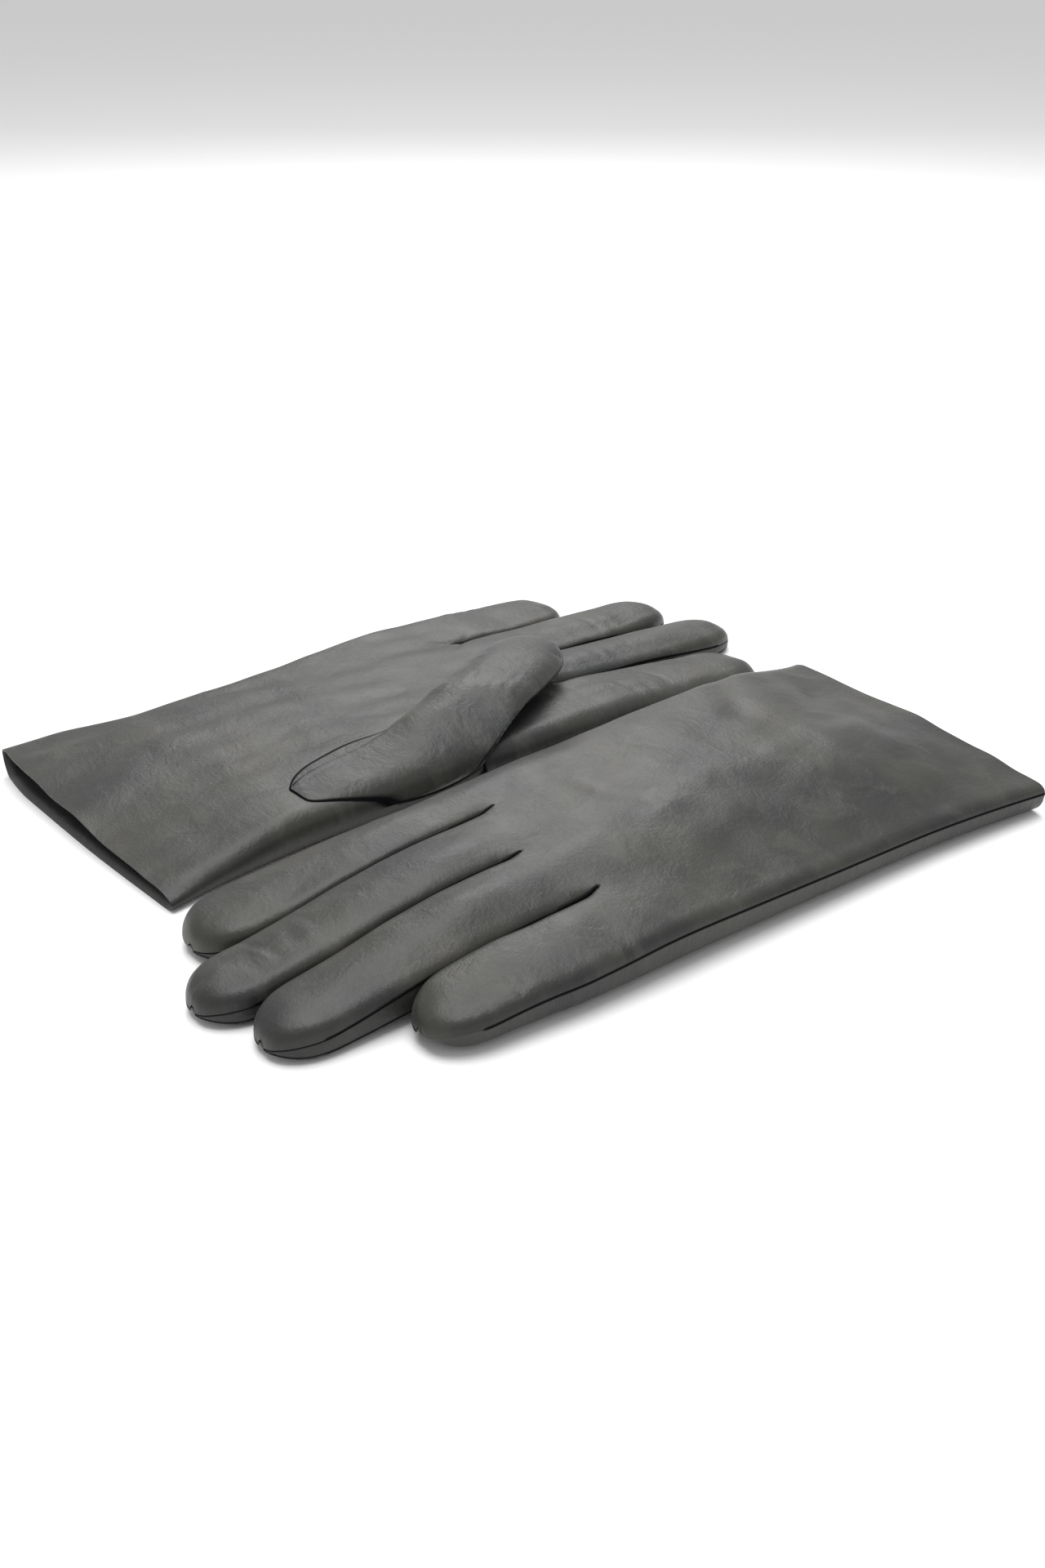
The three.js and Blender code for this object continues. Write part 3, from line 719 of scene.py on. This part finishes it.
def surface_at(rows, u, v):
    """The height of such a face at plan points."""
    stations, across, heights = rows
    shape = np.broadcast(u, v).shape
    u, v = (np.broadcast_to(x, shape).ravel() for x in (u, v))
    below = np.clip(np.floor(u).astype(int), 0, len(stations) - 2)
    share = np.clip(u - below, 0, 1)
    found = [(1 - s) * np.interp(y, across[i], heights[i]) + s * np.interp(y, across[i + 1], heights[i + 1])
             for i, s, y in zip(below, share, v)]
    return np.array(found).reshape(shape)


u = near_u + (far_u - near_u) * t
v = near_v + (far_v - near_v) * t
palm = surface_at(surface_rows("right"), u, v)
off = step(s, 0.30, 0.56)  # how far the thumb has left the palm that it is sewn to
near_off = step(s, 0.42, 0.66)
# Its height above the palm at its ridge, and the height of its two edges once they leave the palm.
crown = even(0.1, 0.6, 1.0, 1.7, 3.2, 5.4, 7.6, 9.2, 10.2, 10.6, 10.4, 9.6, 8.2, 6.2)(s)
edge = 5.4 * (off * t + near_off * (1 - t)) * np.clip(crown / 8, 0, 1)
full = 1 - 0.19 * (1 - step(s, 0.26, 0.44))  # the share that stands up; the rest is a band sewn flat on the palm
leaning = np.clip(t / full, 0, 1) ** (1 + 0.6 * (1 - step(s, 0.42, 0.66)))  # it slopes down to its near edge
gentle = 1 - step(s, 0.5, 0.72)
arch_near = (1 - np.clip(1 - 2 * leaning, 0, 1) ** (2.6 - 0.9 * gentle)) ** (0.62 + 0.38 * gentle)
arch = np.where(leaning < 0.5, arch_near, (1 - np.clip(2 * leaning - 1, 0, 1) ** 2.6) ** 0.62)
base = palm * (1 - off) + (palm * 0.35 + 14.2 * 0.65) * off
top = base + edge + (crown - edge) * arch + 0.35 * np.sqrt(np.clip(1 - np.abs(2 * t - 1) ** 8, 0, 1))
# Two bands of creases across the joint, each crease bowed a little, and a soft swell between them.
for start, end, width, depth in (
    ((114, -18), (140, -40), 0.9, 0.55), ((117, -14), (143, -37), 0.7, 0.40), ((121, -11), (146, -35), 0.8, 0.50),
    ((119, -20), (136, -34), 0.6, 0.30), ((127, -9), (149, -31), 0.7, 0.40), ((135, -8), (153, -28), 0.7, 0.35),
    ((131, -7), (146, -21), 0.6, 0.30), ((140, -2), (156, -20), 0.6, 0.25), ((106, -24), (124, -38), 0.8, 0.25),
):
    bowed = 1.3 * np.sin((u - start[0]) / (end[0] - start[0]) * math.pi * 2.2 + start[1])
    top = top + crease(u + bowed, v, start, end, width, depth)
top = top + crease(u, v, (112, -15), (142, -42), 3.2, -0.7)
top = top + 0.28 * waves(u, v, 8, 24, 1.4) * arch * step(s, 0.1, 0.4)
ridge = np.exp(-((t - full + 0.06) / 0.045) ** 2) * step(s, 0.04, 0.12) * (1 - step(s, 0.3, 0.46))
top = top + 0.6 * ridge
under = base + 0.5 * off - 0.5 * (1 - off)
bottom = under + (edge - 0.5) * (1 - arch) * off
bottom = np.minimum(bottom, top - 0.02)
# The seam runs round the root along both edges; the fold line divides the standing part from the flat band.
edge_gap = np.minimum(np.hypot(u - near_u, v - near_v), np.hypot(u - far_u, v - far_v))
thumb_seam = edge_gap + NO_SEAM * step(s, 0.60, 0.72)
fold = (t - full - 0.004) * np.hypot(far_u - near_u, far_v - near_v)
fold = np.where(s < 0.03, NO_SEAM, fold + np.sign(fold) * 3 * step(s, 0.26, 0.36))

sheets = Sheets()
sheets.add("right_thumb_leather", "skin", to_row("right", u, v, top), (u, v + 260), thumb_seam, inset=fold)
sheets.add("right_thumb_leather", "skin", to_row("right", u, v, bottom), (u, v + 330), thumb_seam, flip=True)
knit_rows = slice(22, -10)
for height, flip in ((np.maximum(top - 1.6, (top + bottom) / 2 + 0.2), False),
                     (np.minimum(bottom + 1.6, (top + bottom) / 2 - 0.2), True)):
    sheets.add("right_thumb_knit", "skin", to_row("right", u, v, height)[knit_rows], (u[knit_rows], v[knit_rows]),
               NO_SEAM, flip=flip)


def leaf(root, length, half, lean, low, high):
    """A flat pouch with round ends: plan and both faces."""
    along = (1 - np.cos(np.linspace(0, math.pi, 44)))[:, None] / 2
    ends = np.minimum(rounded(length * along, 20), rounded(length * (1 - along), 20))
    reach = (2 * t - 1) * (1.5 + (half - 1.5) * ends)
    c, d = math.cos(lean), math.sin(lean)
    plan_u, plan_v = root[0] + length * along * c - reach * d, root[1] + length * along * d + reach * c
    bulge = (1 - np.abs(2 * t - 1) ** 2.6) ** 0.5 * (0.35 + 0.65 * ends) * ends
    middle = low + 0.38 * (high - low)
    return plan_u, plan_v, middle + (high - middle) * bulge, middle - (middle - low) * bulge


for owner, shrink in (("left_thumb_leather", 0.0), ("left_thumb_knit", 1.6)):
    root, low, high = (72 + shrink, -39.5), 0.2 + shrink, 7.4 - shrink
    leaf_u, leaf_v, above, below = leaf(root, 102 - 2 * shrink, 15.2 - shrink, math.radians(19), low, high)
    sheets.add(owner, "skin", to_row("left", leaf_u, leaf_v, above), (leaf_u, leaf_v + 260), NO_SEAM)
    sheets.add(owner, "skin", to_row("left", leaf_u, leaf_v, below), (leaf_u, leaf_v + 330), NO_SEAM, flip=True)
pieces.update(sheets.build())

# The right thumb stays where it is built; the left one slides as a whole.
thumb_bend = (plan_point("right", 66), plan_point("right", 112))
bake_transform(pieces["right_thumb_leather"])
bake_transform(pieces["right_thumb_knit"])
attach(pieces["left_thumb_leather"], "left_thumb")
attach(pieces["left_thumb_knit"], "left_thumb")
for side in SIDES:
    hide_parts(f"{side}_thumb_outer", f"{side}_thumb_inner")
    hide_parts(f"{side}_thumb_lining")


# ---- Stage ----
# A plain pale floor, a broad soft light from above and a second one from behind, and a camera that looks down
# at the pair from the left glove's finger side.

bpy.ops.object.select_all(action="DESELECT")
bpy.ops.mesh.primitive_plane_add(size=40)
floor = bpy.context.object
floor.name = "floor"
floor_material, _, floor_shader = new_material("floor")
floor_shader.inputs["Base Color"].default_value = (0.93, 0.93, 0.93, 1)
floor_shader.inputs["Roughness"].default_value = 0.9
floor.data.materials.append(floor_material)
floor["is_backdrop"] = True

world = bpy.data.worlds.new("studio")
bpy.context.scene.world = world
world.use_nodes = True
world.node_tree.nodes["Background"].inputs[0].default_value = (1, 1, 1, 1)
world.node_tree.nodes["Background"].inputs[1].default_value = 0.62


def soft_light(name, place, size, power):
    data = bpy.data.lights.new(name, "AREA")
    data.shape, data.size, data.energy = "DISK", size, power
    lamp = bpy.data.objects.new(name, data)
    lamp.location = place
    lamp.rotation_mode = "QUATERNION"
    lamp.rotation_quaternion = (Vector((0, 0, 0)) - Vector(place)).to_track_quat("-Z", "Y")
    bpy.context.scene.collection.objects.link(lamp)


soft_light("overhead", (0.0, 0.15, 1.4), 1.2, 18)
soft_light("window", (0.62, 0.78, 0.80), 0.7, 5.5)

TARGET = Vector((0.0055, 0.00424, 0))
AZIMUTH, ELEVATION, DISTANCE, LENS = math.radians(-39.43), math.radians(27.55), 0.5339, 39.58
camera_data = bpy.data.cameras.new("camera")
camera_data.lens, camera_data.sensor_width, camera_data.sensor_fit = LENS, 36, "AUTO"
camera_data.clip_start = 0.01
camera = bpy.data.objects.new("camera", camera_data)
level = math.cos(ELEVATION)
back = Vector((math.sin(AZIMUTH) * level, -math.cos(AZIMUTH) * level, math.sin(ELEVATION)))
camera.location = TARGET + back * DISTANCE
camera.rotation_mode = "QUATERNION"
camera.rotation_quaternion = (-back).to_track_quat("-Z", "Y")
bpy.context.scene.collection.objects.link(camera)
bpy.context.scene.camera = camera
bpy.context.scene.view_settings.view_transform = "Standard"

low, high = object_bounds()
